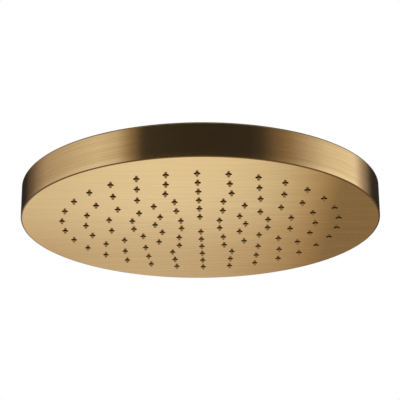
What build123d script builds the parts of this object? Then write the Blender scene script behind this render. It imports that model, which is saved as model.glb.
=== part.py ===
from build123d import *
import os
from math import asin, atan, cos, degrees, radians, sin, sqrt, tan

# Round rain shower head: a shallow brass drum with silicone nozzles, on a ball joint.
# Millimetres. The origin is the centre of the inlet's mouth, +Z is up, and the spray face looks down.

# Drum
head_diameter = 250.0
wall_height = 23.2
sheet_thickness = 1.5
edge_radius = 0.65
top_edge_radius = 0.5
cover_thickness = 1.2
cover_ledge = 0.7
cover_gap = 0.1

# Spray pattern: a nozzle of every ring lies on the Y axis
ring_counts = (6, 12, 18, 18, 24, 30)
first_ring_radius = 15.5
outer_ring_margin = 28.5
spoke_angle = 90.0
hole_diameter = 4.4
nozzle_root_diameter = 2.1
nozzle_tip_diameter = 1.8
nozzle_reach = 2.0
nozzle_bore = 1.0

# The slim nozzles are drawn with few sides, which read as round at this size
nozzle_sides = 8
bore_sides = 4

# Nozzle mat
mat_thickness = 2.0
mat_margin = 9.5
bead_height = 0.8
bead_width = 2.0
bead_inset = 1.5

# Water chamber
water_depth = 5.0
chamber_wall = 2.5
seal_land = 5.5
mat_clearance = 0.5
flange_thickness = 4.0
flange_edge = 1.0
boss_diameter = 10.0
boss_overlap = 1.0
rib_count = 8
rib_thickness = 2.0
rib_end_height = 1.0
rib_hub_drop = 3.0
hub_wall = 4.0

# Studs brazed to the face, with their washers and nuts
stud_diameter = 4.0
stud_hole_clearance = 0.2
outer_stud_count = 8
inner_stud_count = 4
inner_stud_ring = 2.5
stud_angle = 10.0
stud_end = 1.0
washer_diameter = 9.0
washer_thickness = 0.8
nut_width = 7.0
nut_height = 3.2
hexagon = 6

# Thread insert and flow spreader in the middle of the chamber
spigot_diameter = 20.0
thread_clearance = 0.05
insert_wall = 3.0
insert_key_depth = 1.0
insert_key_width = 3.0
insert_lip_width = 1.6
insert_lip_height = 1.0
spreader_clearance = 0.15
spreader_flange_thickness = 1.2
spreader_flange_width = 3.4
spreader_disc_thickness = 1.2
spreader_leg_count = 3
spreader_leg_width = 2.0
spreader_leg_depth = 1.4

# Socket of the ball joint
socket_bore = 11.0
socket_flange_diameter = 42.0
socket_flange_flats = 37.0
socket_flange_thickness = 3.0
socket_edge = 0.6
cover_hole_clearance = 0.3
cover_washer_thickness = 1.0
cover_washer_inset = 0.5
o_ring_section = 1.6
o_ring_clearance = 0.02
o_ring_groove_width = 2.2
o_ring_depth = 2.6
cup_gap = 1.5
cup_wall = 3.0
cup_rise = 0.5

# Ball, neck and inlet collar
ball_diameter = 23.0
ball_clearance = 0.06
tilt_limit = 15.0
neck_diameter = 13.0
neck_flare = 1.5
waterway_diameter = 9.0
collar_flats = 24.0
collar_bevel_angle = 30.0
collar_clearance = 0.8
collar_floor = 2.0
inlet_bore = 20.955
thread_length = 9.0
relief_width = 0.3
relief_height = 3.0

# Ball seal, slide ring and cap nut
ball_floor_gap = 0.4
seal_step = 1.5
seal_height = 6.0
seal_clearance = 0.05
ring_step = 1.0
ring_margin_angle = 7.0
ring_end_gap = 0.1
ring_clearance = 0.05
shoulder_gap = 0.5
lip_thickness = 2.2
lip_clearance = 0.4
nut_wall = 3.0
nut_flat_wall = 1.2
nut_edge = 0.8
skirt_gap = 2.0

# Flow regulator, washer and strainer in the inlet
regulator_diameter = 15.1
regulator_height = 5.0
regulator_clearance = 0.05
regulator_wall = 1.5
regulator_web = 1.5
regulator_post_diameter = 4.4
regulator_hole_count = 6
regulator_hole_diameter = 2.0
regulator_post_drop = 1.0
regulator_ring_section = 1.8
inlet_washer_thickness = 2.0
inlet_washer_diameter = 18.5
inlet_washer_bore = 12.0
strainer_thickness = 0.4
strainer_rise = 1.2
strainer_rim = 1.2
strainer_slope = 1.5

# Radii worked out from the driving sizes
head_radius = head_diameter / 2
cover_radius = head_radius - sheet_thickness + cover_ledge - cover_gap
ring_pitch = (head_radius - outer_ring_margin - first_ring_radius) / (len(ring_counts) - 1)
ring_radii = [first_ring_radius + ring_pitch * index for index in range(len(ring_counts))]
mat_radius = ring_radii[-1] + mat_margin
flange_inner_radius = mat_radius + mat_clearance
outer_stud_radius = flange_inner_radius + boss_diameter / 2 - boss_overlap
inner_stud_radius = first_ring_radius + ring_pitch * inner_stud_ring
stud_circles = ((outer_stud_radius, outer_stud_count), (inner_stud_radius, inner_stud_count))
flange_outer_radius = outer_stud_radius + boss_diameter / 2 + flange_edge
stud_hole_radius = stud_diameter / 2 + stud_hole_clearance
spigot_radius = spigot_diameter / 2
insert_bore_radius = spigot_radius + thread_clearance
insert_radius = insert_bore_radius + insert_wall
insert_lip_radius = insert_bore_radius - insert_lip_width
hub_radius = insert_radius + hub_wall
spreader_radius = insert_bore_radius - spreader_clearance
spreader_disc_radius = insert_lip_radius - spreader_clearance
ball_radius = ball_diameter / 2
neck_radius = neck_diameter / 2
seat_radius = ball_radius + ball_clearance
socket_bore_radius = socket_bore / 2
seal_bore_radius = socket_bore_radius + seal_step
cup_bore_radius = ball_radius + cup_gap
cup_radius = cup_bore_radius + cup_wall
ring_radius = cup_bore_radius + ring_step
nut_bore_radius = cup_radius + thread_clearance
nut_radius = nut_bore_radius + nut_wall
inlet_radius = inlet_bore / 2
relief_radius = inlet_radius + relief_width
regulator_radius = regulator_diameter / 2
post_radius = regulator_post_diameter / 2
pocket_radius = regulator_radius + regulator_clearance
o_ring_radius = insert_bore_radius - o_ring_section / 2 - o_ring_clearance
o_ring_groove_radius = o_ring_radius - o_ring_section / 2 - o_ring_clearance

# Heights above the spray face
mat_top = sheet_thickness + mat_thickness
roof_bottom = mat_top + water_depth
roof_top = roof_bottom + chamber_wall
nut_bottom = roof_top + washer_thickness
stud_top = nut_bottom + nut_height + stud_end
cover_bottom = wall_height - cover_thickness
insert_key_bottom = (roof_bottom + cover_bottom - insert_key_width) / 2
insert_key_top = insert_key_bottom + insert_key_width
insert_lip_top = roof_bottom + insert_lip_height
spreader_disc_top = mat_top + (water_depth + spreader_disc_thickness) / 2
spigot_bottom = insert_lip_top + spreader_flange_thickness
socket_flange_bottom = wall_height + cover_washer_thickness
socket_floor = socket_flange_bottom + socket_flange_thickness
o_ring_height = cover_bottom - o_ring_depth
ball_height = socket_floor + ball_floor_gap + sqrt(ball_radius**2 - socket_bore_radius**2)

# Heights of the ball joint. The slide ring ends where the tilted neck can't reach it, the nut's
# opening clears the tilted neck, and the collar clears the nut.
ring_top_angle = degrees(asin(neck_radius / ball_radius)) + tilt_limit + ring_margin_angle
cup_top = ball_height + cup_rise
ring_bottom = cup_top + ring_end_gap
ring_top = ball_height + ball_radius * cos(radians(ring_top_angle))
lip_bottom = ring_top + ring_end_gap
cap_rise = lip_bottom - ball_height + lip_thickness
cap_top = ball_height + cap_rise
neck_swing = neck_radius / cos(radians(tilt_limit)) + cap_rise * tan(radians(tilt_limit))
ball_at_lip = sqrt(ball_radius**2 - (lip_bottom - ball_height) ** 2)
lip_radius = max(neck_swing, ball_at_lip) + lip_clearance
collar_swing = collar_flats / 2 * sin(radians(tilt_limit))
collar_rise = (cap_rise + collar_clearance + collar_swing) / cos(radians(tilt_limit))
collar_bottom = ball_height + collar_rise
pocket_bottom = collar_bottom + collar_floor
washer_seat = pocket_bottom + regulator_height
thread_bottom = washer_seat + relief_height
mouth_height = thread_bottom + thread_length


def level(height):
    """Horizontal plane at a height above the spray face."""
    return Plane.XY.offset(height - mouth_height)


# Upright plane through the axis: its points are (radius, height above the spray face)
section = Plane(origin=(0, 0, -mouth_height), x_dir=(1, 0, 0), z_dir=(0, -1, 0))
ball_centre = (0, 0, ball_height - mouth_height)

os.makedirs("parts", exist_ok=True)

# Shell: face and wall drawn from one sheet, with a rebate at the top that carries the cover
with BuildPart() as shell:
    with BuildSketch(section) as shell_profile:
        with BuildLine():
            Polyline(
                (0, 0),
                (head_radius, 0),
                (head_radius, wall_height),
                (head_radius - sheet_thickness + cover_ledge, wall_height),
                (head_radius - sheet_thickness + cover_ledge, cover_bottom),
                (head_radius - sheet_thickness, cover_bottom),
                (head_radius - sheet_thickness, sheet_thickness),
                (0, sheet_thickness),
                close=True,
            )
        make_face()
        fillet(shell_profile.vertices().group_by(Axis.X)[-1].sort_by(Axis.Y)[0], edge_radius)
        fillet(shell_profile.vertices().group_by(Axis.X)[-1].sort_by(Axis.Y)[-1], top_edge_radius)
    revolve(axis=Axis.Z)
    with BuildSketch(level(0)):
        for pattern_radius, count in zip(ring_radii, ring_counts):
            with PolarLocations(pattern_radius, count, start_angle=spoke_angle):
                Circle(hole_diameter / 2)
    extrude(amount=sheet_thickness, mode=Mode.SUBTRACT)
shell.part.label = "shell"
export_step(shell.part, "parts/shell.step")

# Cover: flat disc that lies in the rebate, held down in its middle by the socket
with BuildPart() as cover:
    with BuildSketch(level(cover_bottom)):
        Circle(cover_radius)
        Circle(spigot_radius + cover_hole_clearance, mode=Mode.SUBTRACT)
    extrude(amount=cover_thickness)
cover.part.label = "cover"
export_step(cover.part, "parts/cover.step")

# One nozzle, tapering from the underside of the mat to its tip
nozzle_length = sheet_thickness + nozzle_reach
nozzle_taper = degrees(atan((nozzle_root_diameter - nozzle_tip_diameter) / 2 / nozzle_length))
with BuildPart() as nozzle:
    with BuildSketch(level(sheet_thickness)):
        RegularPolygon(nozzle_root_diameter / 2, nozzle_sides)
    extrude(amount=-nozzle_length, taper=nozzle_taper)

# Nozzle mat: silicone sheet with every nozzle moulded on, and a bead that seals its rim
with BuildPart() as nozzle_mat:
    with BuildSketch(level(sheet_thickness)):
        Circle(mat_radius)
        with PolarLocations(inner_stud_radius, inner_stud_count, start_angle=stud_angle):
            Circle(stud_hole_radius, mode=Mode.SUBTRACT)
    extrude(amount=mat_thickness)
    with BuildSketch(level(mat_top)):
        Circle(mat_radius - bead_inset)
        Circle(mat_radius - bead_inset - bead_width, mode=Mode.SUBTRACT)
    extrude(amount=bead_height)
    for pattern_radius, count in zip(ring_radii, ring_counts):
        with PolarLocations(pattern_radius, count, start_angle=spoke_angle):
            add(nozzle.part)
    with BuildSketch(level(-nozzle_reach)):
        for pattern_radius, count in zip(ring_radii, ring_counts):
            with PolarLocations(pattern_radius, count, start_angle=spoke_angle):
                RegularPolygon(nozzle_bore / 2, bore_sides)
    extrude(amount=nozzle_length + mat_thickness, mode=Mode.SUBTRACT)
nozzle_mat.part.label = "nozzle_mat"
export_step(nozzle_mat.part, "parts/nozzle_mat.step")

# One stiffening rib of the chamber's roof, falling from the hub to the rim, midway between two studs
rib_angle = stud_angle + 180 / rib_count
with BuildPart() as rib:
    with BuildSketch(section):
        with BuildLine():
            Polyline(
                (insert_radius + hub_wall / 2, roof_top),
                (mat_radius, roof_top),
                (mat_radius, roof_top + rib_end_height),
                (insert_radius + hub_wall / 2, cover_bottom - rib_hub_drop),
                close=True,
            )
        make_face()
    extrude(amount=rib_thickness / 2, both=True)

# Water chamber: moulded dish. Its land presses on the mat's rim, its flange stands on the face,
# and its hub is moulded round the thread insert.
with BuildPart() as water_chamber:
    with BuildSketch(section):
        with BuildLine():
            Polyline(
                (insert_radius, roof_bottom),
                (mat_radius - seal_land, roof_bottom),
                (mat_radius - seal_land, mat_top),
                (mat_radius - bead_inset - bead_width, mat_top),
                (mat_radius - bead_inset - bead_width, mat_top + bead_height),
                (mat_radius - bead_inset, mat_top + bead_height),
                (mat_radius - bead_inset, mat_top),
                (flange_inner_radius, mat_top),
                (flange_inner_radius, sheet_thickness),
                (flange_outer_radius, sheet_thickness),
                (flange_outer_radius, sheet_thickness + flange_thickness),
                (flange_inner_radius, sheet_thickness + flange_thickness),
                (flange_inner_radius, roof_top),
                (hub_radius, roof_top),
                (hub_radius, cover_bottom),
                (insert_radius, cover_bottom),
                (insert_radius, insert_key_top),
                (insert_radius - insert_key_depth, insert_key_top),
                (insert_radius - insert_key_depth, insert_key_bottom),
                (insert_radius, insert_key_bottom),
                close=True,
            )
        make_face()
    revolve(axis=Axis.Z)
    with PolarLocations(0, rib_count, start_angle=rib_angle):
        add(rib.part)
    with BuildSketch(level(sheet_thickness + flange_thickness)):
        with PolarLocations(outer_stud_radius, outer_stud_count, start_angle=stud_angle):
            Circle(boss_diameter / 2)
    extrude(amount=roof_top - sheet_thickness - flange_thickness)
    with BuildSketch(level(mat_top)):
        with PolarLocations(inner_stud_radius, inner_stud_count, start_angle=stud_angle):
            Circle(boss_diameter / 2)
    extrude(amount=water_depth)
    with BuildSketch(level(sheet_thickness)):
        for stud_circle, count in stud_circles:
            with PolarLocations(stud_circle, count, start_angle=stud_angle):
                Circle(stud_hole_radius)
    extrude(amount=roof_top - sheet_thickness, mode=Mode.SUBTRACT)
water_chamber.part.label = "water_chamber"
export_step(water_chamber.part, "parts/water_chamber.step")

# Studs: brazed to the inside of the face, outside the mat and between its third and fourth rings
with BuildPart() as studs:
    with BuildSketch(level(sheet_thickness)):
        for stud_circle, count in stud_circles:
            with PolarLocations(stud_circle, count, start_angle=stud_angle):
                Circle(stud_diameter / 2)
    extrude(amount=stud_top - sheet_thickness)
studs.part.label = "studs"
export_step(studs.part, "parts/studs.step")

# Washers under the stud nuts
with BuildPart() as stud_washers:
    with BuildSketch(level(roof_top)):
        for stud_circle, count in stud_circles:
            with PolarLocations(stud_circle, count, start_angle=stud_angle):
                Circle(washer_diameter / 2)
                Circle(stud_hole_radius, mode=Mode.SUBTRACT)
    extrude(amount=washer_thickness)
stud_washers.part.label = "stud_washers"
export_step(stud_washers.part, "parts/stud_washers.step")

# Hexagonal nuts on the studs
with BuildPart() as stud_nuts:
    with BuildSketch(level(nut_bottom)):
        for stud_circle, count in stud_circles:
            with PolarLocations(stud_circle, count, start_angle=stud_angle):
                RegularPolygon(nut_width / 2, hexagon, major_radius=False)
                Circle(stud_diameter / 2 + thread_clearance, mode=Mode.SUBTRACT)
    extrude(amount=nut_height)
stud_nuts.part.label = "stud_nuts"
export_step(stud_nuts.part, "parts/stud_nuts.step")

# Inlet insert: turned ring with a groove that keys it into the hub and a lip that carries the spreader
with BuildPart() as inlet_insert:
    with BuildSketch(section):
        with BuildLine():
            Polyline(
                (insert_lip_radius, roof_bottom),
                (insert_radius, roof_bottom),
                (insert_radius, insert_key_bottom),
                (insert_radius - insert_key_depth, insert_key_bottom),
                (insert_radius - insert_key_depth, insert_key_top),
                (insert_radius, insert_key_top),
                (insert_radius, cover_bottom),
                (insert_bore_radius, cover_bottom),
                (insert_bore_radius, insert_lip_top),
                (insert_lip_radius, insert_lip_top),
                close=True,
            )
        make_face()
    revolve(axis=Axis.Z)
inlet_insert.part.label = "inlet_insert"
export_step(inlet_insert.part, "parts/inlet_insert.step")

# Flow spreader: a disc hung by legs from a flange, which the spigot clamps on the insert's lip
spreader_leg_circle = spreader_disc_radius - spreader_clearance - spreader_leg_depth / 2
with BuildPart() as flow_spreader:
    with BuildSketch(level(insert_lip_top)):
        Circle(spreader_radius)
        Circle(spreader_radius - spreader_flange_width, mode=Mode.SUBTRACT)
    extrude(amount=spreader_flange_thickness)
    with BuildSketch(level(spreader_disc_top)):
        Circle(spreader_disc_radius)
    extrude(amount=-spreader_disc_thickness)
    with BuildSketch(level(spreader_disc_top)):
        with PolarLocations(spreader_leg_circle, spreader_leg_count):
            Rectangle(spreader_leg_depth, spreader_leg_width)
    extrude(amount=insert_lip_top - spreader_disc_top)
flow_spreader.part.label = "flow_spreader"
export_step(flow_spreader.part, "parts/flow_spreader.step")

# Cover washer: keeps the socket's flange off the finished cover
with BuildPart() as cover_washer:
    with BuildSketch(level(wall_height)):
        Circle(socket_flange_flats / 2 - cover_washer_inset)
        Circle(spigot_radius + cover_hole_clearance, mode=Mode.SUBTRACT)
    extrude(amount=cover_washer_thickness)
cover_washer.part.label = "cover_washer"
export_step(cover_washer.part, "parts/cover_washer.step")

# Socket: spigot, flange with two flats for a spanner, and the cup of the ball joint
with BuildPart() as socket:
    with BuildSketch(level(socket_flange_bottom)):
        Circle(socket_flange_diameter / 2)
        Rectangle(socket_flange_diameter, socket_flange_flats, mode=Mode.INTERSECT)
    extrude(amount=socket_flange_thickness)
    chamfer(socket.faces().sort_by(Axis.Z)[-1].edges(), socket_edge)
    with BuildSketch(section):
        with BuildLine():
            Polyline(
                (0, spigot_bottom),
                (spigot_radius, spigot_bottom),
                (spigot_radius, socket_flange_bottom),
                (cup_radius, socket_flange_bottom),
                (cup_radius, cup_top),
                (0, cup_top),
                close=True,
            )
        make_face()
    revolve(axis=Axis.Z)
    with BuildSketch(section):
        with BuildLine():
            Polyline(
                (0, spigot_bottom),
                (socket_bore_radius, spigot_bottom),
                (socket_bore_radius, socket_floor),
                (cup_bore_radius, socket_floor),
                (cup_bore_radius, cup_top),
                (0, cup_top),
                close=True,
            )
        make_face()
    revolve(axis=Axis.Z, mode=Mode.SUBTRACT)
    with BuildSketch(level(o_ring_height - o_ring_groove_width / 2)):
        Circle(spigot_radius)
        Circle(o_ring_groove_radius, mode=Mode.SUBTRACT)
    extrude(amount=o_ring_groove_width, mode=Mode.SUBTRACT)
socket.part.label = "socket"
export_step(socket.part, "parts/socket.step")

# O-ring in the groove of the spigot
with BuildPart() as socket_o_ring:
    with Locations(level(o_ring_height)):
        Torus(o_ring_radius, o_ring_section / 2)
socket_o_ring.part.label = "socket_o_ring"
export_step(socket_o_ring.part, "parts/socket_o_ring.step")

# Ball seal: rubber ring on the floor of the cup, with a spherical seat
with BuildPart() as ball_seal:
    with BuildSketch(level(socket_floor)):
        Circle(cup_bore_radius - seal_clearance)
        Circle(seal_bore_radius, mode=Mode.SUBTRACT)
    extrude(amount=seal_height)
    with Locations(ball_centre):
        Sphere(seat_radius, mode=Mode.SUBTRACT)
ball_seal.part.label = "ball_seal"
export_step(ball_seal.part, "parts/ball_seal.step")

# Slide ring: stands on the rim of the cup and holds the ball from above
with BuildPart() as slide_ring:
    with BuildSketch(level(ring_bottom)):
        Circle(ring_radius)
    extrude(amount=ring_top - ring_bottom)
    with Locations(ball_centre):
        Sphere(seat_radius, mode=Mode.SUBTRACT)
slide_ring.part.label = "slide_ring"
export_step(slide_ring.part, "parts/slide_ring.step")

# Cap nut: screwed on the cup, its lip over the slide ring, with two flats for a spanner
with BuildPart() as cap_nut:
    with BuildSketch(section):
        with BuildLine():
            Polyline(
                (nut_bore_radius, socket_floor + skirt_gap),
                (nut_radius, socket_floor + skirt_gap),
                (nut_radius, cap_top - nut_edge),
                (nut_radius - nut_edge, cap_top),
                (lip_radius, cap_top),
                (lip_radius, lip_bottom),
                (ring_radius + ring_clearance, lip_bottom),
                (ring_radius + ring_clearance, cup_top + shoulder_gap),
                (nut_bore_radius, cup_top + shoulder_gap),
                close=True,
            )
        make_face()
    revolve(axis=Axis.Z)
    with BuildSketch(level(socket_floor + skirt_gap)):
        Rectangle(2 * nut_radius, 2 * (nut_bore_radius + nut_flat_wall))
    extrude(amount=cap_top - socket_floor - skirt_gap, mode=Mode.INTERSECT)
cap_nut.part.label = "cap_nut"
export_step(cap_nut.part, "parts/cap_nut.step")

# Ball neck: hexagonal collar with turned ends, neck and ball in one, bored through for the water
collar_corner = collar_flats / 2 / cos(radians(180 / hexagon))
collar_bevel = (collar_corner - collar_flats / 2) * tan(radians(collar_bevel_angle))
with BuildPart() as ball_neck:
    with BuildSketch(level(collar_bottom)):
        RegularPolygon(collar_flats / 2, hexagon, major_radius=False)
    extrude(amount=mouth_height - collar_bottom)
    with BuildSketch(section):
        with BuildLine():
            Polyline(
                (0, collar_bottom),
                (collar_flats / 2, collar_bottom),
                (collar_corner, collar_bottom + collar_bevel),
                (collar_corner, mouth_height - collar_bevel),
                (collar_flats / 2, mouth_height),
                (0, mouth_height),
                close=True,
            )
        make_face()
    revolve(axis=Axis.Z, mode=Mode.INTERSECT)
    with BuildSketch(section):
        with BuildLine():
            Polyline(
                (0, ball_height),
                (neck_radius, ball_height),
                (neck_radius, collar_bottom - neck_flare),
                (neck_radius + neck_flare, collar_bottom),
                (0, collar_bottom),
                close=True,
            )
        make_face()
    revolve(axis=Axis.Z)
    with Locations(ball_centre):
        Sphere(ball_radius)
    with BuildSketch(section):
        with BuildLine():
            Polyline(
                (0, ball_height - ball_radius),
                (waterway_diameter / 2, ball_height - ball_radius),
                (waterway_diameter / 2, pocket_bottom),
                (pocket_radius, pocket_bottom),
                (pocket_radius, washer_seat),
                (relief_radius, washer_seat),
                (relief_radius, thread_bottom),
                (inlet_radius, thread_bottom),
                (inlet_radius, mouth_height),
                (0, mouth_height),
                close=True,
            )
        make_face()
    revolve(axis=Axis.Z, mode=Mode.SUBTRACT)
ball_neck.part.label = "ball_neck"
export_step(ball_neck.part, "parts/ball_neck.step")

# Flow regulator: cartridge with a perforated floor and a post that carries its ring
regulator_floor = pocket_bottom + regulator_web
regulator_hole_circle = (post_radius + regulator_ring_section + regulator_radius - regulator_wall) / 2
with BuildPart() as flow_regulator:
    with BuildSketch(section):
        with BuildLine():
            Polyline(
                (0, pocket_bottom),
                (regulator_radius, pocket_bottom),
                (regulator_radius, washer_seat),
                (regulator_radius - regulator_wall, washer_seat),
                (regulator_radius - regulator_wall, regulator_floor),
                (post_radius, regulator_floor),
                (post_radius, washer_seat - regulator_post_drop),
                (0, washer_seat - regulator_post_drop),
                close=True,
            )
        make_face()
    revolve(axis=Axis.Z)
    with BuildSketch(level(pocket_bottom)):
        with PolarLocations(regulator_hole_circle, regulator_hole_count):
            Circle(regulator_hole_diameter / 2)
    extrude(amount=regulator_web, mode=Mode.SUBTRACT)
flow_regulator.part.label = "flow_regulator"
export_step(flow_regulator.part, "parts/flow_regulator.step")

# Regulator ring: rubber ring round the post, squeezed against the holes by the flow
with BuildPart() as regulator_ring:
    with Locations(level(regulator_floor + regulator_ring_section / 2 + o_ring_clearance)):
        Torus(post_radius + regulator_ring_section / 2 + o_ring_clearance, regulator_ring_section / 2)
regulator_ring.part.label = "regulator_ring"
export_step(regulator_ring.part, "parts/regulator_ring.step")

# Inlet washer: rubber seal in the relief below the thread
with BuildPart() as inlet_washer:
    with BuildSketch(level(washer_seat)):
        Circle(inlet_washer_diameter / 2)
        Circle(inlet_washer_bore / 2, mode=Mode.SUBTRACT)
    extrude(amount=inlet_washer_thickness)
inlet_washer.part.label = "inlet_washer"
export_step(inlet_washer.part, "parts/inlet_washer.step")

# Strainer: pressed steel gauze in the hole of the washer
strainer_radius = inlet_washer_bore / 2
strainer_bottom = washer_seat + (inlet_washer_thickness - strainer_thickness) / 2
with BuildPart() as strainer:
    with BuildSketch(section):
        with BuildLine():
            Polyline(
                (0, strainer_bottom + strainer_rise),
                (strainer_radius - strainer_rim - strainer_slope, strainer_bottom + strainer_rise),
                (strainer_radius - strainer_rim, strainer_bottom),
                (strainer_radius, strainer_bottom),
                (strainer_radius, strainer_bottom + strainer_thickness),
                (strainer_radius - strainer_rim, strainer_bottom + strainer_thickness),
                (
                    strainer_radius - strainer_rim - strainer_slope,
                    strainer_bottom + strainer_rise + strainer_thickness,
                ),
                (0, strainer_bottom + strainer_rise + strainer_thickness),
                close=True,
            )
        make_face()
    revolve(axis=Axis.Z)
strainer.part.label = "strainer"
export_step(strainer.part, "parts/strainer.step")
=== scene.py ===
from math import cos, pi, radians, sin

import bpy
from mathutils import Matrix, Vector


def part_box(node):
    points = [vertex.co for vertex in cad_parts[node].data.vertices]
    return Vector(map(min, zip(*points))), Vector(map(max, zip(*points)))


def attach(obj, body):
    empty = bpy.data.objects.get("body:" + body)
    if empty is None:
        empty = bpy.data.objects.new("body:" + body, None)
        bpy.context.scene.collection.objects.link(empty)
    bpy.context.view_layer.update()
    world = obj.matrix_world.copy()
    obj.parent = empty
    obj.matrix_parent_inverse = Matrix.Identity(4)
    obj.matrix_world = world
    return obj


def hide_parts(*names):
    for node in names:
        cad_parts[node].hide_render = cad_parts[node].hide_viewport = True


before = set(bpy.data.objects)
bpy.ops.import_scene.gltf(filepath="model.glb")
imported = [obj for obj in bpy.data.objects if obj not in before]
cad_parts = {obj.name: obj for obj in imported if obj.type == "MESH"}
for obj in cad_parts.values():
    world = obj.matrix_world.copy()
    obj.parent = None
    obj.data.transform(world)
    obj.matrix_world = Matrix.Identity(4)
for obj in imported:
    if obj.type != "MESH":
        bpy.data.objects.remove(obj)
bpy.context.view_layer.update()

# Shell: the spray face and the wall of the drum, deep-drawn from one sheet of brass, brushed along X
# on the face and round the wall, then coated gold. The rounded lower edge is painted dark, a painted
# reflection; the holes and the inside get a dull brown skin painted near black as shade; the trimmed top
# edge gets a black painted shadow line; and the foot of the wall a bright painted highlight.
shell_low, shell_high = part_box("shell")
face_z = shell_low.z
wall_top = shell_high.z
drum_radius = shell_high.x
sheet = 0.0015

# Bands along the edges, where one finish, painted shade or painted highlight gives way to the next
face_band = 0.0003
hole_band = 0.00003
edge_radius = 0.00065
edge_margin = 0.0004
edge_fade = 0.75
trim_band = 0.0011
trim_full = trim_band / 3
# The painted highlight at the foot of the wall: its height, its strength and where it fades out on the
# right
lip_band = 0.0046
lip_highlight_share = 0.9
lip_fade_start = 0.72 * drum_radius
lip_fade_end = 0.9 * drum_radius

gold_light = (0.86, 0.628, 0.283, 1)
gold_deep = (0.67, 0.487, 0.216, 1)
# Painted highlight along the foot of the wall
lip_painted_highlight = (0.97, 0.745, 0.38, 1)
# Painted dark reflection on the rounded lower edge
rim_painted_reflection = (0.16, 0.078, 0.015, 1)
# Partly real, partly painted shade: the uncoated skin of the holes and the inside, painted near black
hole_skin_painted_shade = (0.075, 0.024, 0.001, 1)
# Painted shadow: the black line along the top edge
trim_painted_shadow = (0.004, 0.003, 0.002, 1)
wall_roughness = 0.16
face_roughness = 0.09
gleam_stretch = 0.5

# Brush marks: their size, gloss and relief, the noise that draws them, and how hard they bite
mark_width = 0.0003
wall_mark_width = 0.00012
mark_length = 0.012
mark_gloss = 0.04
mark_relief = 0.015
mark_depth = 0.0001
line_scales = (1.0, 0.38)
line_range = (0.75, 1.25)
band_scales = (0.16, 0.085)
band_range = (0.72, 1.28)
# How strong the marks show on the face, from front left to back right: painted light
bite_least = 0.6
bite_most = 1.9
wall_bite = 1.2


def set_input(tree, socket, value):
    """Sets a socket to a value, or links it to another socket."""
    if isinstance(value, bpy.types.NodeSocket):
        tree.links.new(value, socket)
    else:
        socket.default_value = value


def add_node(tree, kind, inputs=None, **settings):
    """A shader node with its settings, and its inputs set or linked."""
    new = tree.nodes.new(kind)
    for name, value in settings.items():
        setattr(new, name, value)
    for socket, value in (inputs or {}).items():
        set_input(tree, new.inputs[socket], value)
    return new


def calculate(tree, operation, *values):
    """The result of a Math node."""
    return add_node(tree, "ShaderNodeMath", dict(enumerate(values)), operation=operation).outputs[0]


def mean(tree, first, second):
    """The mean of two values."""
    return calculate(tree, "MULTIPLY_ADD", first, 0.5, calculate(tree, "MULTIPLY", second, 0.5))


def spread(tree, value, low, high, first=0.0, second=1.0, shape="LINEAR"):
    """Changes from the first value to the second as the input goes from low to high."""
    inputs = {"Value": value, "From Min": low, "From Max": high, "To Min": first, "To Max": second}
    return add_node(tree, "ShaderNodeMapRange", inputs, interpolation_type=shape).outputs["Result"]


def mix_colour(tree, share, first, second):
    """A colour between two others."""
    mix = add_node(tree, "ShaderNodeMix", data_type="RGBA")
    set_input(tree, mix.inputs["Factor"], share)
    set_input(tree, mix.inputs[6], first)
    set_input(tree, mix.inputs[7], second)
    return mix.outputs[2]


def noise(tree, place, scale, detail=2.0, roughness=0.6):
    """Soft noise from 0 to 1."""
    inputs = {"Vector": place, "Scale": scale, "Detail": detail, "Roughness": roughness}
    return add_node(tree, "ShaderNodeTexNoise", inputs).outputs["Fac"]


def axes_of(tree, place):
    """The X, Y and Z of coordinates."""
    return add_node(tree, "ShaderNodeSeparateXYZ", {"Vector": place}).outputs


def start_material(name):
    """A new material with its node tree, its shader and the piece's own coordinates."""
    material = bpy.data.materials.new(name)
    material.use_nodes = True
    tree = material.node_tree
    place = add_node(tree, "ShaderNodeTexCoord").outputs["Object"]
    return material, tree, tree.nodes["Principled BSDF"], place


def start_group(name, inputs, outputs):
    """A new shader node group with named sockets, and its input and output nodes."""
    group = bpy.data.node_groups.new(name, "ShaderNodeTree")
    for socket, kind in inputs:
        group.interface.new_socket(socket, in_out="INPUT", socket_type=kind)
    for socket in outputs:
        group.interface.new_socket(socket, in_out="OUTPUT", socket_type="NodeSocketFloat")
    return group, group.nodes.new("NodeGroupInput"), group.nodes.new("NodeGroupOutput")


def dress(material, *nodes):
    """Gives CAD nodes their finish."""
    for node in nodes:
        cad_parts[node].material_slots[0].material = material


def two_sizes(tree, across, scales, noise_range):
    """Noise of two sizes laid over each other, spread from 0 to 1."""
    both = calculate(tree, "ADD", *[noise(tree, across, scale) for scale in scales])
    return spread(tree, both, *noise_range)


# Brush marks as a group: fine lines and broader bands, one mark wide across the coordinates given
brush_marks, group_in, group_out = start_group(
    "brush_marks", [("Across", "NodeSocketVector")], ["Lines", "Bands"]
)
across = group_in.outputs["Across"]
set_input(brush_marks, group_out.inputs["Lines"], two_sizes(brush_marks, across, line_scales, line_range))
set_input(brush_marks, group_out.inputs["Bands"], two_sizes(brush_marks, across, band_scales, band_range))


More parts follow.
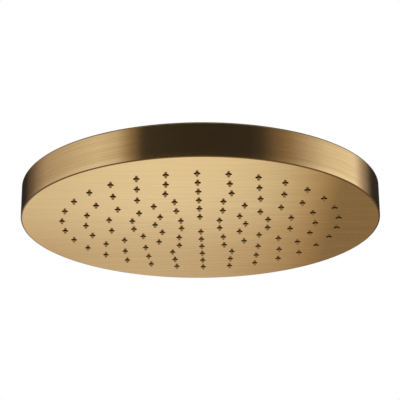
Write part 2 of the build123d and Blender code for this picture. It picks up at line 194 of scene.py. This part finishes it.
def brush(tree, shader, across, light, deep, roughness, bite=1.0):
    """Lays brush marks over a metal: tone, roughness and a slight relief. The bite makes them stronger."""
    marks = add_node(tree, "ShaderNodeGroup", {"Across": across}, node_tree=brush_marks)
    lines, bands = marks.outputs["Lines"], marks.outputs["Bands"]
    both = mean(tree, lines, bands)
    rough = calculate(tree, "ADD", roughness, spread(tree, both, 0.0, 1.0, mark_gloss, -mark_gloss))
    relief_inputs = {"Height": lines, "Strength": mark_relief, "Distance": mark_depth}
    relief = add_node(tree, "ShaderNodeBump", relief_inputs)
    set_input(tree, shader.inputs["Roughness"], rough)
    set_input(tree, shader.inputs["Normal"], relief.outputs["Normal"])
    shader.inputs["Metallic"].default_value = 1.0
    strong = calculate(tree, "MULTIPLY_ADD", calculate(tree, "SUBTRACT", both, 0.5), bite, 0.5)
    return mix_colour(tree, strong, deep, light)


def stretch(tree, place, x, y, z):
    """Coordinates counted in lengths along X, Y and Z."""
    inputs = {"Vector": place, "Scale": (1 / x, 1 / y, 1 / z)}
    return add_node(tree, "ShaderNodeMapping", inputs).outputs["Vector"]


def from_axis(tree, place):
    """Distance from the head's axis."""
    flat = add_node(tree, "ShaderNodeVectorMath", {0: place, 1: (1, 1, 0)}, operation="MULTIPLY").outputs[0]
    return add_node(tree, "ShaderNodeVectorMath", {0: flat}, operation="LENGTH").outputs["Value"]


def to_world(tree, direction):
    """A direction on the piece, turned with the piece."""
    inputs = {"Vector": direction}
    settings = {"vector_type": "VECTOR", "convert_from": "OBJECT", "convert_to": "WORLD"}
    return add_node(tree, "ShaderNodeVectorTransform", inputs, **settings).outputs[0]


shell_gold, tree, shader, place = start_material("shell_brushed_gold")
along = axes_of(tree, place)
height = along["Z"]
radius = from_axis(tree, place)
on_face = calculate(tree, "LESS_THAN", height, face_z + face_band)
on_wall = calculate(tree, "SUBTRACT", 1.0, on_face)

# The brush marks are real; their stronger showing towards the back and the right of the face is painted
# light
face_marks = stretch(tree, place, mark_length, mark_width, 1)
wall_marks = stretch(tree, place, mark_length, mark_length, wall_mark_width)
marks = add_node(tree, "ShaderNodeMix", {"Factor": on_face}, data_type="VECTOR")
set_input(tree, marks.inputs[4], wall_marks)
set_input(tree, marks.inputs[5], face_marks)
roughness = spread(tree, on_face, 0.0, 1.0, wall_roughness, face_roughness)
back_right = calculate(tree, "ADD", along["X"], along["Y"])
face_bite_painted_light = spread(tree, back_right, -drum_radius, drum_radius, bite_least, bite_most)
bite = spread(tree, on_face, 0.0, 1.0, wall_bite, face_bite_painted_light)
tone = brush(tree, shader, marks.outputs[1], gold_light, gold_deep, roughness, bite)

# Painted highlight: a bright band along the foot of the wall that fades out on the right. Painted dark
# reflection: the rounding under it
lip_highlight_fade = spread(tree, along["X"], lip_fade_start, lip_fade_end, lip_highlight_share, 0.0)
lip_highlight = spread(tree, height, face_z, face_z + lip_band, lip_highlight_fade, 0.0)
tone = mix_colour(tree, calculate(tree, "MULTIPLY", on_wall, lip_highlight), tone, lip_painted_highlight)
# Painted dark reflection: the rounded lower edge is darkened in colour
at_rim = calculate(tree, "GREATER_THAN", radius, drum_radius - edge_radius - edge_margin)
below_wall = spread(tree, height, face_z + edge_fade * edge_radius, face_z + edge_radius, 1.0, 0.0)
tone = mix_colour(tree, calculate(tree, "MULTIPLY", at_rim, below_wall), tone, rim_painted_reflection)

# The holes and the inside: an uncoated skin, painted near black as shade. The trimmed top edge: a black
# painted shadow line
within_wall = calculate(tree, "LESS_THAN", radius, drum_radius - sheet / 2)
above_face = calculate(tree, "GREATER_THAN", height, face_z + hole_band)
inside = calculate(tree, "MULTIPLY", within_wall, above_face)
# Painted shadow line along the top edge
top_shadow_line = spread(tree, height, wall_top - trim_band, wall_top - trim_full)
# The skin mixes the painted shade of the holes and the inside with the painted shadow line of the top edge
skin = mix_colour(tree, top_shadow_line, hole_skin_painted_shade, trim_painted_shadow)
bare_and_shaded = calculate(tree, "MAXIMUM", inside, top_shadow_line)
set_input(tree, shader.inputs["Base Color"], mix_colour(tree, bare_and_shaded, tone, skin))
set_input(tree, shader.inputs["Metallic"], calculate(tree, "SUBTRACT", 1.0, bare_and_shaded))
shader.inputs["Specular IOR Level"].default_value = 0.0
across_marks = add_node(tree, "ShaderNodeCombineXYZ", {"Y": on_face, "Z": on_wall}).outputs[0]
set_input(tree, shader.inputs["Tangent"], to_world(tree, across_marks))
shader.inputs["Anisotropic"].default_value = gleam_stretch
dress(shell_gold, "shell")

# Nozzle mat: soft silicone sheet behind the face, moulded in one with the nozzles that stand out
# through its holes. Each nozzle is a slim tapered post with a bored, rounded tip.
# A bead round the sheet seals it under the water chamber, and four studs pass through it.
ring_counts = (6, 12, 18, 18, 24, 30)
first_ring = 0.0155
ring_pitch = 0.0162
spoke_angle = radians(90)
nozzle_sides = 12
root_radius = 0.00105
tip_radius = 0.0009
tip_round = 0.0002
tip_segments = 2
bore_radius = 0.0005
root_overlap = 0.0002
mat_thickness = 0.002
mat_sides = 128
bead_inset = 0.0015
bead_width = 0.002
bead_height = 0.0008
stud_count = 4
stud_circle = first_ring + 2.5 * ring_pitch
stud_angle = radians(10)
stud_hole_radius = 0.0022
stud_hole_sides = 24
mat_smooth_angle = radians(40)

# A face counts as level if its normal has more Z than this
level_normal = 0.9

silicone_light = (0.38, 0.25, 0.102, 1)
silicone_deep = (0.325, 0.21, 0.083, 1)
# Painted shade for the posts where they stand in the holes
silicone_shade = (0.03, 0.009, 0.001, 1)
silicone_specks = 1200.0
silicone_roughness = 0.5
silicone_gloss = 0.2
shade_start = 0.0007
shade_end = 0.0002

# Moulded grain: how coarse its clouds are against its specks, and its relief and gloss
cloud_share = 0.08
grain_detail = 3.0
grain_relief = 0.15
grain_depth = 0.0001
grain_gloss = 0.08
grain_range = (0.3, 0.7)

mat_low, mat_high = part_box("nozzle_mat")
tip_z = mat_low.z
mat_radius = mat_high.x
mat_bottom = face_z + sheet
nozzle_top = mat_bottom + root_overlap
nozzle_length = nozzle_top - tip_z
bead_outer = mat_radius - bead_inset
bead_inner = bead_outer - bead_width


def deselect():
    """Nothing is selected."""
    bpy.ops.object.select_all(action="DESELECT")


def pick(piece):
    """Selects one piece alone."""
    deselect()
    piece.select_set(True)
    bpy.context.view_layer.objects.active = piece


def select_faces(piece, chosen):
    """Selects the faces of the piece in edit mode for which chosen is true."""
    bpy.ops.mesh.select_mode(type="FACE")
    bpy.ops.mesh.select_all(action="DESELECT")
    bpy.ops.object.mode_set(mode="OBJECT")
    for face in piece.data.polygons:
        face.select = chosen(face)
    bpy.ops.object.mode_set(mode="EDIT")


def apply_place():
    """Puts the place, the turn and the scale of the selected piece into its mesh."""
    bpy.ops.object.transform_apply(location=True, rotation=True, scale=True)


def settle():
    """Leaves edit mode and puts the piece's place into its mesh."""
    bpy.ops.object.mode_set(mode="OBJECT")
    apply_place()


def copy_round(piece, radius, angle):
    """A copy of the piece, with its own mesh, moved out from the axis."""
    twin = piece.copy()
    twin.data = piece.data.copy()
    twin.data.transform(Matrix.Translation((radius * cos(angle), radius * sin(angle), 0)))
    bpy.context.scene.collection.objects.link(twin)
    return twin


def join(pieces):
    """Joins pieces into the first one."""
    pick(pieces[0])
    for piece in pieces:
        piece.select_set(True)
    bpy.ops.object.join()
    return pieces[0]


def cut(piece, cutter, operation):
    """Joins or cuts the piece with another, which is used up."""
    pick(piece)
    boolean = piece.modifiers.new("cut", "BOOLEAN")
    boolean.operation = operation
    boolean.solver = "EXACT"
    boolean.object = cutter
    bpy.ops.object.modifier_apply(modifier=boolean.name)
    bpy.data.objects.remove(cutter)


def off_axis(point):
    """How far a point lies from the head's axis."""
    return Vector(point[:2]).length


def on_bead(face):
    """Whether a face on top of the mat belongs to the bead."""
    return face.normal.z > level_normal and bead_inner < off_axis(face.center) < bead_outer


def nozzle_places():
    """Radius and angle of every nozzle."""
    for ring, count in enumerate(ring_counts):
        for index in range(count):
            yield first_ring + ring_pitch * ring, spoke_angle + 2 * pi * index / count


def stud_places():
    """Radius and angle of every stud that passes through the mat."""
    for index in range(stud_count):
        yield stud_circle, stud_angle + 2 * pi * index / stud_count


deselect()
bpy.ops.mesh.primitive_cone_add(
    vertices=nozzle_sides,
    radius1=tip_radius,
    radius2=root_radius,
    depth=nozzle_length,
    location=(0, 0, tip_z + nozzle_length / 2),
)
nozzle = bpy.context.object
bpy.ops.object.mode_set(mode="EDIT")
select_faces(nozzle, lambda face: face.normal.z < -level_normal)
bpy.ops.mesh.bevel(offset=tip_round, segments=tip_segments, affect="EDGES")
settle()
nozzles = join([copy_round(nozzle, radius, angle) for radius, angle in nozzle_places()])
bpy.data.objects.remove(nozzle)

deselect()
bpy.ops.mesh.primitive_cylinder_add(
    vertices=mat_sides,
    radius=mat_radius,
    depth=mat_thickness,
    location=(0, 0, mat_bottom + mat_thickness / 2),
)
mat = bpy.context.object
mat.name = "nozzle_mat_moulding"
bpy.ops.object.mode_set(mode="EDIT")
select_faces(mat, lambda face: face.normal.z > level_normal)
bpy.ops.mesh.inset(thickness=bead_inset)
bpy.ops.mesh.inset(thickness=bead_width)
select_faces(mat, on_bead)
bpy.ops.mesh.extrude_region_move(TRANSFORM_OT_translate={"value": (0, 0, bead_height)})
settle()
cut(mat, nozzles, "UNION")


def hole_cutter(sides, radius):
    """A slim bar, longer than the mat and its nozzles are thick, that cuts one hole."""
    deselect()
    bpy.ops.mesh.primitive_cylinder_add(
        vertices=sides, radius=radius, depth=4 * nozzle_length, location=(0, 0, mat_bottom)
    )
    apply_place()
    return bpy.context.object


bore = hole_cutter(nozzle_sides, bore_radius)
stud_hole = hole_cutter(stud_hole_sides, stud_hole_radius)
holes = [copy_round(bore, radius, angle) for radius, angle in nozzle_places()]
holes += [copy_round(stud_hole, radius, angle) for radius, angle in stud_places()]
bpy.data.objects.remove(bore)
bpy.data.objects.remove(stud_hole)
cut(mat, join(holes), "DIFFERENCE")
bpy.ops.object.shade_smooth_by_angle(angle=mat_smooth_angle)

# Moulded grain as a group: fine specks and slow clouds, for plastics and rubber
moulded_grain, group_in, group_out = start_group(
    "moulded_grain",
    [("Place", "NodeSocketVector"), ("Speck Scale", "NodeSocketFloat")],
    ["Specks", "Clouds"],
)
grain_place, speck_scale = group_in.outputs["Place"], group_in.outputs["Speck Scale"]
cloud_scale = calculate(moulded_grain, "MULTIPLY", speck_scale, cloud_share)
for output, scale in (("Specks", speck_scale), ("Clouds", cloud_scale)):
    grain_noise = noise(moulded_grain, grain_place, scale, grain_detail)
    set_input(moulded_grain, group_out.inputs[output], grain_noise)


def mould(tree, shader, place, speck_scale, light, deep, roughness):
    """The skin of a moulded piece: specks and clouds in tone, roughness and relief."""
    inputs = {"Place": place, "Speck Scale": speck_scale}
    grain = add_node(tree, "ShaderNodeGroup", inputs, node_tree=moulded_grain)
    specks, clouds = grain.outputs["Specks"], grain.outputs["Clouds"]
    both = mean(tree, specks, clouds)
    rough = spread(tree, both, *grain_range, roughness - grain_gloss, roughness + grain_gloss)
    relief_inputs = {"Height": specks, "Strength": grain_relief, "Distance": grain_depth}
    relief = add_node(tree, "ShaderNodeBump", relief_inputs)
    set_input(tree, shader.inputs["Roughness"], rough)
    set_input(tree, shader.inputs["Normal"], relief.outputs["Normal"])
    return mix_colour(tree, both, deep, light)


def moulded_material(name, speck_scale, light, deep, roughness):
    """A plastic or rubber with moulded grain all over."""
    material, tree, shader, place = start_material(name)
    tone = mould(tree, shader, place, speck_scale, light, deep, roughness)
    set_input(tree, shader.inputs["Base Color"], tone)
    return material


# Painted shade: the posts darken towards the holes that they stand in
silicone, tree, shader, place = start_material("nozzle_silicone")
tone = mould(tree, shader, place, silicone_specks, silicone_light, silicone_deep, silicone_roughness)
in_hole_painted_shade = spread(tree, axes_of(tree, place)["Z"], face_z - shade_start, face_z - shade_end)
set_input(tree, shader.inputs["Base Color"], mix_colour(tree, in_hole_painted_shade, tone, silicone_shade))
shader.inputs["Specular IOR Level"].default_value = silicone_gloss
mat.data.materials.clear()
mat.data.materials.append(silicone)
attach(mat, "head")
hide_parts("nozzle_mat")

# Water chamber: black plastic dish moulded with ribs, its hub moulded round the thread insert.
# It stands on the inside of the face and presses on the rim of the mat.
chamber_light = (0.026, 0.026, 0.028, 1)
chamber_deep = (0.012, 0.012, 0.013, 1)
chamber_specks = 1500.0
chamber_roughness = 0.5
black_plastic = moulded_material(
    "chamber_plastic", chamber_specks, chamber_light, chamber_deep, chamber_roughness
)
dress(black_plastic, "water_chamber")

# Studs and their washers: stainless steel, the studs brazed to the inside of the face.
# The drawn wire of the studs and the stamped washers keep fine lines.
steel_light = (0.62, 0.62, 0.61, 1)
steel_deep = (0.50, 0.50, 0.49, 1)
steel_roughness = 0.32
steel_lines = (0.0002, 0.0002, 0.02)


def lined_metal(name, light, deep, roughness, lines):
    """A plain metal with fine lines, of the given lengths along X, Y and Z."""
    material, tree, shader, place = start_material(name)
    tone = brush(tree, shader, stretch(tree, place, *lines), light, deep, roughness)
    set_input(tree, shader.inputs["Base Color"], tone)
    return material


drawn_steel = lined_metal("drawn_steel", steel_light, steel_deep, steel_roughness, steel_lines)
dress(drawn_steel, "studs", "stud_washers")

# Stud nuts: hexagon nuts of plain brass, sawn from drawn bar and tapped.
# Screwed down on the studs, they hold the chamber on the mat.
brass_light = (0.74, 0.53, 0.21, 1)
brass_deep = (0.60, 0.42, 0.16, 1)
nut_roughness = 0.34
nut_lines = (0.0004, 0.0004, 0.01)
dress(lined_metal("nut_brass", brass_light, brass_deep, nut_roughness, nut_lines), "stud_nuts")

# Inlet insert: brass ring turned on a lathe, keyed into the hub of the chamber.
# The tool's marks run round it.
insert_roughness = 0.3
insert_feed = 0.0002


def turned_metal(name, light, deep, roughness, feed):
    """A turned metal: the tool's marks follow the distance from the axis and the height."""
    material, tree, shader, place = start_material(name)
    section = {"X": from_axis(tree, place), "Z": axes_of(tree, place)["Z"]}
    rings = add_node(tree, "ShaderNodeCombineXYZ", section).outputs[0]
    tone = brush(tree, shader, stretch(tree, rings, feed, 1, feed), light, deep, roughness)
    set_input(tree, shader.inputs["Base Color"], tone)
    return material


insert_brass = turned_metal("insert_brass", brass_light, brass_deep, insert_roughness, insert_feed)
dress(insert_brass, "inlet_insert")

# Flow spreader, cover washer, slide ring and flow regulator: moulded in white acetal.
# The spreader hangs under the inlet, the washer lies under the socket, the slide ring holds the ball
# and the regulator sits in the inlet.
acetal_light = (0.80, 0.80, 0.77, 1)
acetal_deep = (0.68, 0.68, 0.65, 1)
acetal_specks = 1100.0
acetal_roughness = 0.38
white_acetal = moulded_material("white_acetal", acetal_specks, acetal_light, acetal_deep, acetal_roughness)
dress(white_acetal, "flow_spreader", "cover_washer", "slide_ring", "flow_regulator")

# Cover: flat brass disc in the rebate of the wall, brushed along X and coated as the shell is.
# The flange of the socket holds it down in the middle.
cover_roughness = 0.22
cover_gold, tree, shader, place = start_material("cover_brushed_gold")
cover_marks = stretch(tree, place, mark_length, mark_width, 1)
tone = brush(tree, shader, cover_marks, gold_light, gold_deep, cover_roughness)
set_input(tree, shader.inputs["Base Color"], tone)
set_input(tree, shader.inputs["Tangent"], to_world(tree, (0, 1, 0)))
shader.inputs["Anisotropic"].default_value = gleam_stretch
dress(cover_gold, "cover")

# Socket, cap nut and ball neck: the ball joint, turned from brass bar and coated gold.
# The socket screws into the insert, and the cap nut holds the ball down in it.
joint_roughness = 0.2
joint_feed = 0.0003
joint_gold = turned_metal("turned_gold", gold_light, gold_deep, joint_roughness, joint_feed)
dress(joint_gold, "socket", "cap_nut", "ball_neck")

# O-ring, ball seal, regulator ring and inlet washer: black rubber, pressed in a mould.
# Each lies in its groove or seat, and the pieces that close on it hold it there.
rubber_light = (0.028, 0.028, 0.028, 1)
rubber_deep = (0.012, 0.012, 0.012, 1)
rubber_specks = 1800.0
rubber_roughness = 0.65
black_rubber = moulded_material("black_rubber", rubber_specks, rubber_light, rubber_deep, rubber_roughness)
dress(black_rubber, "socket_o_ring", "ball_seal", "regulator_ring", "inlet_washer")

# Inlet thread: half-inch pipe thread cut in the bore of the ball neck's collar.
# Its ridge winds down from the mouth to the relief above the washer.
thread_radius = 0.0104775
thread_depth = 0.00116
thread_pitch = 0.001814
thread_root = 0.96 * thread_pitch
thread_crest = 0.25
thread_length = 0.009
thread_steps = 48
thread_turns = 7
thread_sink = 0.00005
thread_start = -thread_length - thread_pitch
thread_middle = thread_radius - thread_depth / 2
thread_roughness = 0.24
cut_reach = 0.0000001
weld_reach = 0.000001
metal_smooth_angle = radians(35)

deselect()
bpy.ops.mesh.primitive_plane_add(
    size=1, location=(thread_middle + thread_sink, 0, thread_start), rotation=(pi / 2, 0, 0)
)
thread = bpy.context.object
thread.name = "inlet_thread_ridge"
thread.scale = (thread_depth, thread_root, 1)
apply_place()
bpy.ops.object.mode_set(mode="EDIT")
bpy.ops.mesh.select_mode(type="VERT")
bpy.ops.mesh.select_all(action="DESELECT")
bpy.ops.object.mode_set(mode="OBJECT")
for vertex in thread.data.vertices:
    vertex.select = vertex.co.x < thread_middle
bpy.ops.object.mode_set(mode="EDIT")
bpy.ops.transform.resize(value=(1, 1, thread_crest), center_override=(0, 0, thread_start))
bpy.ops.object.mode_set(mode="OBJECT")
winding = thread.modifiers.new("winding", "SCREW")
winding.axis = "Z"
winding.screw_offset = thread_pitch
winding.iterations = thread_turns
winding.steps = thread_steps
winding.render_steps = thread_steps
winding.use_merge_vertices = True
bpy.ops.object.modifier_apply(modifier=winding.name)
bpy.ops.object.mode_set(mode="EDIT")
for end, outwards in ((0, 1), (-thread_length, -1)):
    bpy.ops.mesh.select_all(action="SELECT")
    bpy.ops.mesh.bisect(
        plane_co=(0, 0, end - outwards * thread_sink),
        plane_no=(0, 0, outwards),
        use_fill=True,
        clear_outer=True,
        threshold=cut_reach,
    )
bpy.ops.mesh.select_all(action="SELECT")
bpy.ops.mesh.remove_doubles(threshold=weld_reach)
bpy.ops.mesh.normals_make_consistent(inside=False)
bpy.ops.object.mode_set(mode="OBJECT")
bpy.ops.object.shade_smooth_by_angle(angle=metal_smooth_angle)
thread_gold = turned_metal("thread_gold", gold_light, gold_deep, thread_roughness, joint_feed)
thread.data.materials.append(thread_gold)
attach(thread, "neck")

# Strainer: domed disc of woven steel gauze with a pressed rim, held in the hole of the inlet washer.
# It keeps grit out of the regulator and the nozzles.
strainer_low, strainer_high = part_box("strainer")
strainer_radius = strainer_high.x
strainer_steel = 0.0004
strainer_rise = strainer_high.z - strainer_low.z - strainer_steel
strainer_middle = strainer_low.z + strainer_steel / 2
strainer_rim = 0.0006
dome_top = 0.0033
dome_foot = 0.0048
wire_pitch = 0.0005
wire_thickness = 0.00022
wire_count = int(2 * strainer_radius / wire_pitch)
gauze_edge = strainer_radius - strainer_rim / 2
rim_sides = 64
gauze_roughness = 0.3
gauze_lines = (0.0003, 0.0003, 0.0003)

deselect()
bpy.ops.mesh.primitive_grid_add(
    x_subdivisions=wire_count,
    y_subdivisions=wire_count,
    size=2 * strainer_radius,
    location=(0, 0, strainer_middle),
)
gauze = bpy.context.object
gauze.name = "strainer_gauze"
apply_place()
bpy.ops.object.mode_set(mode="EDIT")
select_faces(gauze, lambda face: off_axis(face.center) > gauze_edge - wire_pitch / 2)
bpy.ops.mesh.delete(type="FACE")
bpy.ops.object.mode_set(mode="OBJECT")
for vertex in gauze.data.vertices:
    slope = (dome_foot - off_axis(vertex.co)) / (dome_foot - dome_top)
    vertex.co.z += strainer_rise * min(max(slope, 0), 1)
weave = gauze.modifiers.new("weave", "WIREFRAME")
weave.thickness = wire_thickness
weave.use_boundary = True
bpy.ops.object.modifier_apply(modifier=weave.name)

deselect()
bpy.ops.mesh.primitive_cylinder_add(
    vertices=rim_sides, radius=strainer_radius, depth=strainer_steel, location=(0, 0, strainer_middle)
)
rim = bpy.context.object
bpy.ops.object.mode_set(mode="EDIT")
select_faces(rim, lambda face: abs(face.normal.z) > level_normal)
bpy.ops.mesh.inset(thickness=strainer_rim)
bpy.ops.mesh.bridge_edge_loops()
settle()
join([gauze, rim])
bpy.ops.object.shade_smooth_by_angle(angle=metal_smooth_angle)
gauze_steel = lined_metal("gauze_steel", steel_light, steel_deep, gauze_roughness, gauze_lines)
gauze.data.materials.clear()
gauze.data.materials.append(gauze_steel)
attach(gauze, "neck")
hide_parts("strainer")

# Floor: a plain pale ground far below the head, which hangs from its arm.
# Far away the camera sees it fade into the white of the studio.
floor_z = face_z - 1.1
floor_size = 16
floor_fade_start = 2.0
floor_fade_end = 7.0
floor_light = (0.82, 0.82, 0.81, 1)
floor_deep = (0.78, 0.78, 0.77, 1)
floor_patches = 3.0
floor_roughness = 0.8


def fade(tree, value, low, high, first=0.0, second=1.0):
    """A soft change from the first value to the second."""
    return spread(tree, value, low, high, first, second, shape="SMOOTHSTEP")


deselect()
bpy.ops.mesh.primitive_plane_add(size=floor_size, location=(0, 0, floor_z))
floor = bpy.context.object
floor.name = "floor"
floor_paint, tree, shader, place = start_material("floor_paint")
patches = noise(tree, place, floor_patches)
set_input(tree, shader.inputs["Base Color"], mix_colour(tree, patches, floor_deep, floor_light))
shader.inputs["Roughness"].default_value = floor_roughness
seen = add_node(tree, "ShaderNodeLightPath").outputs["Is Camera Ray"]
far = fade(tree, from_axis(tree, place), floor_fade_start, floor_fade_end)
clear = add_node(tree, "ShaderNodeBsdfTransparent").outputs[0]
fading_inputs = {0: calculate(tree, "MULTIPLY", seen, far), 1: shader.outputs[0], 2: clear}
fading = add_node(tree, "ShaderNodeMixShader", fading_inputs)
set_input(tree, tree.nodes["Material Output"].inputs["Surface"], fading.outputs[0])
floor.data.materials.append(floor_paint)

# Camera: below and in front of the head, looking up at the spray face.
# The head's own turn about the vertical and the slight roll are as in the photograph.
view_rise = radians(20.62)
view_turn = radians(1.17)
view_roll = radians(-0.31)
view_distance = 0.985
view_drop = 0.0171
view_left = 0.0003
view_reach = 50
lens_length = 126.6
sensor_width = 36

camera_data = bpy.data.cameras.new("camera")
camera_data.lens = lens_length
camera_data.sensor_width = sensor_width
camera_data.sensor_fit = "HORIZONTAL"
camera_data.clip_end = view_reach
camera = bpy.data.objects.new("camera", camera_data)
bpy.context.scene.collection.objects.link(camera)
forward = Vector((-sin(view_turn) * cos(view_rise), cos(view_turn) * cos(view_rise), sin(view_rise)))
level_right = Vector((cos(view_turn), sin(view_turn), 0))
level_up = level_right.cross(forward)
right = cos(view_roll) * level_right + sin(view_roll) * level_up
up = cos(view_roll) * level_up - sin(view_roll) * level_right
eye = Vector((0, 0, face_z)) - view_distance * forward + view_drop * up - view_left * right
camera.matrix_world = Matrix.Translation(eye) @ Matrix((right, up, -forward)).transposed().to_4x4()
bpy.context.scene.camera = camera

# Studio: a ring of soft boxes round the head, dark in front and behind, while the camera sees plain white.
# A card below and behind the head is what the spray face mirrors: bright on the left, dark on the right.
# A broad soft light from above lights the floor, and panels over and round the head light its top pieces.
studio_white = (1, 1, 1, 1)

# The ring: degrees to the right of the front, and how bright it is there
soft_boxes = (
    (-180, 0.02),
    (-146, 0.03),
    (-132, 0.17),
    (-112, 0.5),
    (-66, 0.78),
    (-52, 0.66),
    (-44, 0.34),
    (-35, 0.05),
    (0, 0.037),
    (31, 0.036),
    (40, 0.055),
    (59, 0.31),
    (88, 0.83),
    (116, 0.98),
    (125, 0.46),
    (140, 0.03),
    (180, 0.02),
)

# Its tint and warmth, and where the boxes and the ceiling fade with the height or depth of a direction
box_tint = (1.0, 0.96, 1.04)
box_warmth = {"fall": 3.5, "depth": 5.2, "least": 0.0}
box_feet = (-0.10, 0.05)
box_tops = (0.75, 0.95)
ceiling_light = 0.6
ceiling_edge = (0.55, 0.8)
ceiling_front = (-0.1, 0.3)
floor_gleam = (0.1, 0.09, 0.08, 1)

# The card: its place and size, its warmth, and where its right, left and far edges darken
card_reach = 0.6
card_drop = radians(20.8)
card_width = 0.9
card_height = 0.5
card_strength = 0.945
card_warmth = {"fall": 2, "depth": 3.2, "least": 0.08}
card_shades = (0.0, 0.2, 0.4, 0.6, 0.8, 1.0)
card_slant = 0.25
right_edge = (-0.11, 0.14)
right_fall = 3.5
right_shade = 0.3
left_edge = (-0.22, -0.08)
left_shade = 0.87
far_edge = (-0.03, 0.07)
far_shade = 0.71

# The broad light and the panels: sizes, places and watts
overhead_size = 12
overhead_height = 4
overhead_power = 560
panel_count = 4
panel_width = 3
panel_height = 1.4
panel_reach = 1.5
panel_power = 6
top_power = 12


def warm(level, fall, depth, least):
    """The colour of a light in this studio: its lower tones are warmer than its bright ones."""
    tint = least + depth * level * max(0, 1 - level) ** fall
    return (level, level * (1 - tint / 2), level * (1 - tint), 1)


def light_ramp(tree, share, stops, warmth):
    """A colour ramp of warm lights."""
    ramp = add_node(tree, "ShaderNodeValToRGB", {"Fac": share})
    elements = ramp.color_ramp.elements
    while len(elements) < len(stops):
        elements.new(1.0)
    for element, (position, level) in zip(elements, stops):
        element.position = position
        element.color = warm(level, **warmth)
    return ramp.outputs["Color"]


world = bpy.data.worlds.new("studio")
bpy.context.scene.world = world
world.use_nodes = True
tree = world.node_tree
along = axes_of(tree, add_node(tree, "ShaderNodeTexCoord").outputs["Generated"])
azimuth = calculate(tree, "ARCTAN2", along["X"], calculate(tree, "MULTIPLY", along["Y"], -1.0))
turn = calculate(tree, "MULTIPLY_ADD", azimuth, 1 / (2 * pi), 0.5)
box_stops = [(angle / 360 + 0.5, level) for angle, level in soft_boxes]
ring = light_ramp(tree, turn, box_stops, box_warmth)
tinted = add_node(tree, "ShaderNodeVectorMath", {0: ring, 1: box_tint}, operation="MULTIPLY").outputs[0]
above_floor = fade(tree, along["Z"], *box_feet)
below_top = fade(tree, along["Z"], *box_tops, 1.0, 0.0)
boxes_and_floor = mix_colour(tree, above_floor, floor_gleam, tinted)
lower = add_node(tree, "ShaderNodeVectorMath", {0: boxes_and_floor, "Scale": below_top}, operation="SCALE")
overhead_glow = fade(tree, along["Z"], *ceiling_edge, 0.0, ceiling_light)
ceiling = calculate(tree, "MULTIPLY", overhead_glow, fade(tree, along["Y"], *ceiling_front))
studio = add_node(tree, "ShaderNodeVectorMath", {0: lower.outputs[0], 1: ceiling}, operation="ADD")
seen = add_node(tree, "ShaderNodeLightPath").outputs["Is Camera Ray"]
seen_and_mirrored = mix_colour(tree, seen, studio.outputs[0], studio_white)
set_input(tree, tree.nodes["Background"].inputs["Color"], seen_and_mirrored)

deselect()
bpy.ops.mesh.primitive_plane_add(
    size=1,
    location=(0, card_reach * cos(card_drop), face_z - card_reach * sin(card_drop)),
    rotation=(pi / 2 + card_drop, 0, 0),
)
card = bpy.context.object
card.name = "face_card"
card.scale = (card_width, card_height, 1)
bpy.ops.object.transform_apply(location=False, rotation=False, scale=True)
card.visible_camera = False
card.visible_shadow = False
card.visible_diffuse = False
card_glow, tree, shader, place = start_material("face_card_glow")
along = axes_of(tree, place)
slant = calculate(tree, "MULTIPLY_ADD", along["Y"], card_slant, along["X"])
dimming = calculate(tree, "POWER", spread(tree, slant, *right_edge), right_fall)
to_right = calculate(tree, "SUBTRACT", 1.0, dimming)
to_left = fade(tree, along["X"], *left_edge, left_shade, 1.0)
to_far = fade(tree, along["Y"], *far_edge, 1.0, far_shade)
above_right = calculate(tree, "SUBTRACT", calculate(tree, "MULTIPLY", to_left, to_far), right_shade)
level = calculate(tree, "MULTIPLY_ADD", above_right, to_right, right_shade)
shades = light_ramp(tree, level, [(shade, shade) for shade in card_shades], card_warmth)
glow = add_node(tree, "ShaderNodeEmission", {"Color": shades, "Strength": card_strength})
set_input(tree, tree.nodes["Material Output"].inputs["Surface"], glow.outputs[0])
card.data.materials.append(card_glow)


def soft_light(name, width, height, power, stand):
    """A broad soft light that the camera doesn't see."""
    light = bpy.data.lights.new(name, "AREA")
    light.shape = "RECTANGLE"
    light.size = width
    light.size_y = height
    light.energy = power
    light_box = bpy.data.objects.new(name, light)
    light_box.matrix_world = stand
    light_box.visible_camera = False
    bpy.context.scene.collection.objects.link(light_box)
    return light_box


above = Matrix.Translation((0, 0, overhead_height))
overhead = soft_light("overhead", overhead_size, overhead_size, overhead_power, above)
overhead.visible_glossy = False
over_head = Matrix.Translation((0, 0, panel_height))
panels = [soft_light("top_panel", panel_width, panel_width, top_power, over_head)]
stood_up = Matrix.Translation((0, -panel_reach, panel_height / 2)) @ Matrix.Rotation(pi / 2, 4, "X")
for side in range(panel_count):
    stand = Matrix.Rotation(2 * pi * side / panel_count, 4, "Z") @ stood_up
    panels.append(soft_light("side_panel", panel_width, panel_height, panel_power, stand))
top_pieces = bpy.data.collections.new("top_pieces")
for node in ("cover", "socket", "cap_nut", "ball_neck"):
    top_pieces.objects.link(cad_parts[node])
for panel in panels:
    panel.light_linking.receiver_collection = top_pieces
bpy.context.scene.view_settings.view_transform = "Standard"
